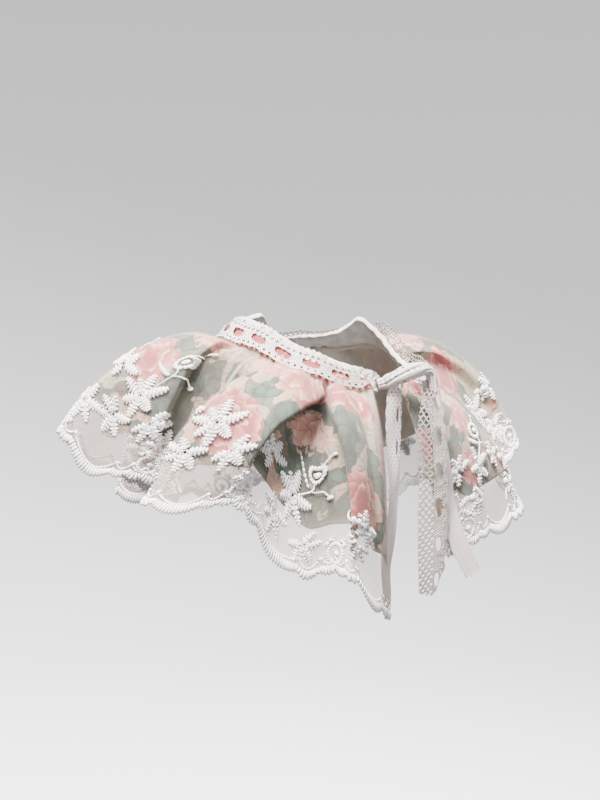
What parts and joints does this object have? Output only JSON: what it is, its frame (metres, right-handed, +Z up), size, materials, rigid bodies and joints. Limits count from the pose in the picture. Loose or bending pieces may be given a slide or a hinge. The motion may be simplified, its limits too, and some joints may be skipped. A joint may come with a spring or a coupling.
{
  "type": "pet lace collar",
  "caption": "Small pet's lace cape collar: gathered printed cotton under embroidered scalloped net, eyelet tape round the neck, knotted at the front with hanging tie ends.",
  "frame": {"origin": "middle of the neckline, where the wearer's neck holds the collar", "axes": "+Z up along the neck, -Y towards the knot at the front, -X towards the wearer's right"},
  "size_m": [0.2278, 0.1914, 0.1406],
  "materials": {
    "printed_cotton": "plain weave with a rose and leaf print",
    "embroidered_net": "sheer net with raised satin stitch",
    "binding_cotton": "plain weave, folded edge",
    "eyelet_lace": "open cotton lace",
    "knotted_lace": "rolled cotton lace",
    "lace_tie_end": "open cotton lace",
    "eyelet_tie_end": "open cotton lace",
    "plain_tie_end": "plain weave, raw end"
  },
  "bodies": {
    "root": {"cotton_flounce": "printed_cotton", "lace_flounce": "embroidered_net", "neck_binding": "binding_cotton", "neck_lace": "eyelet_lace", "tie_knot": "knotted_lace", "tie_tail_left": "lace_tie_end", "tie_tail_front": "eyelet_tie_end", "tie_tail_right": "plain_tie_end"}
  },
  "joints": []
}
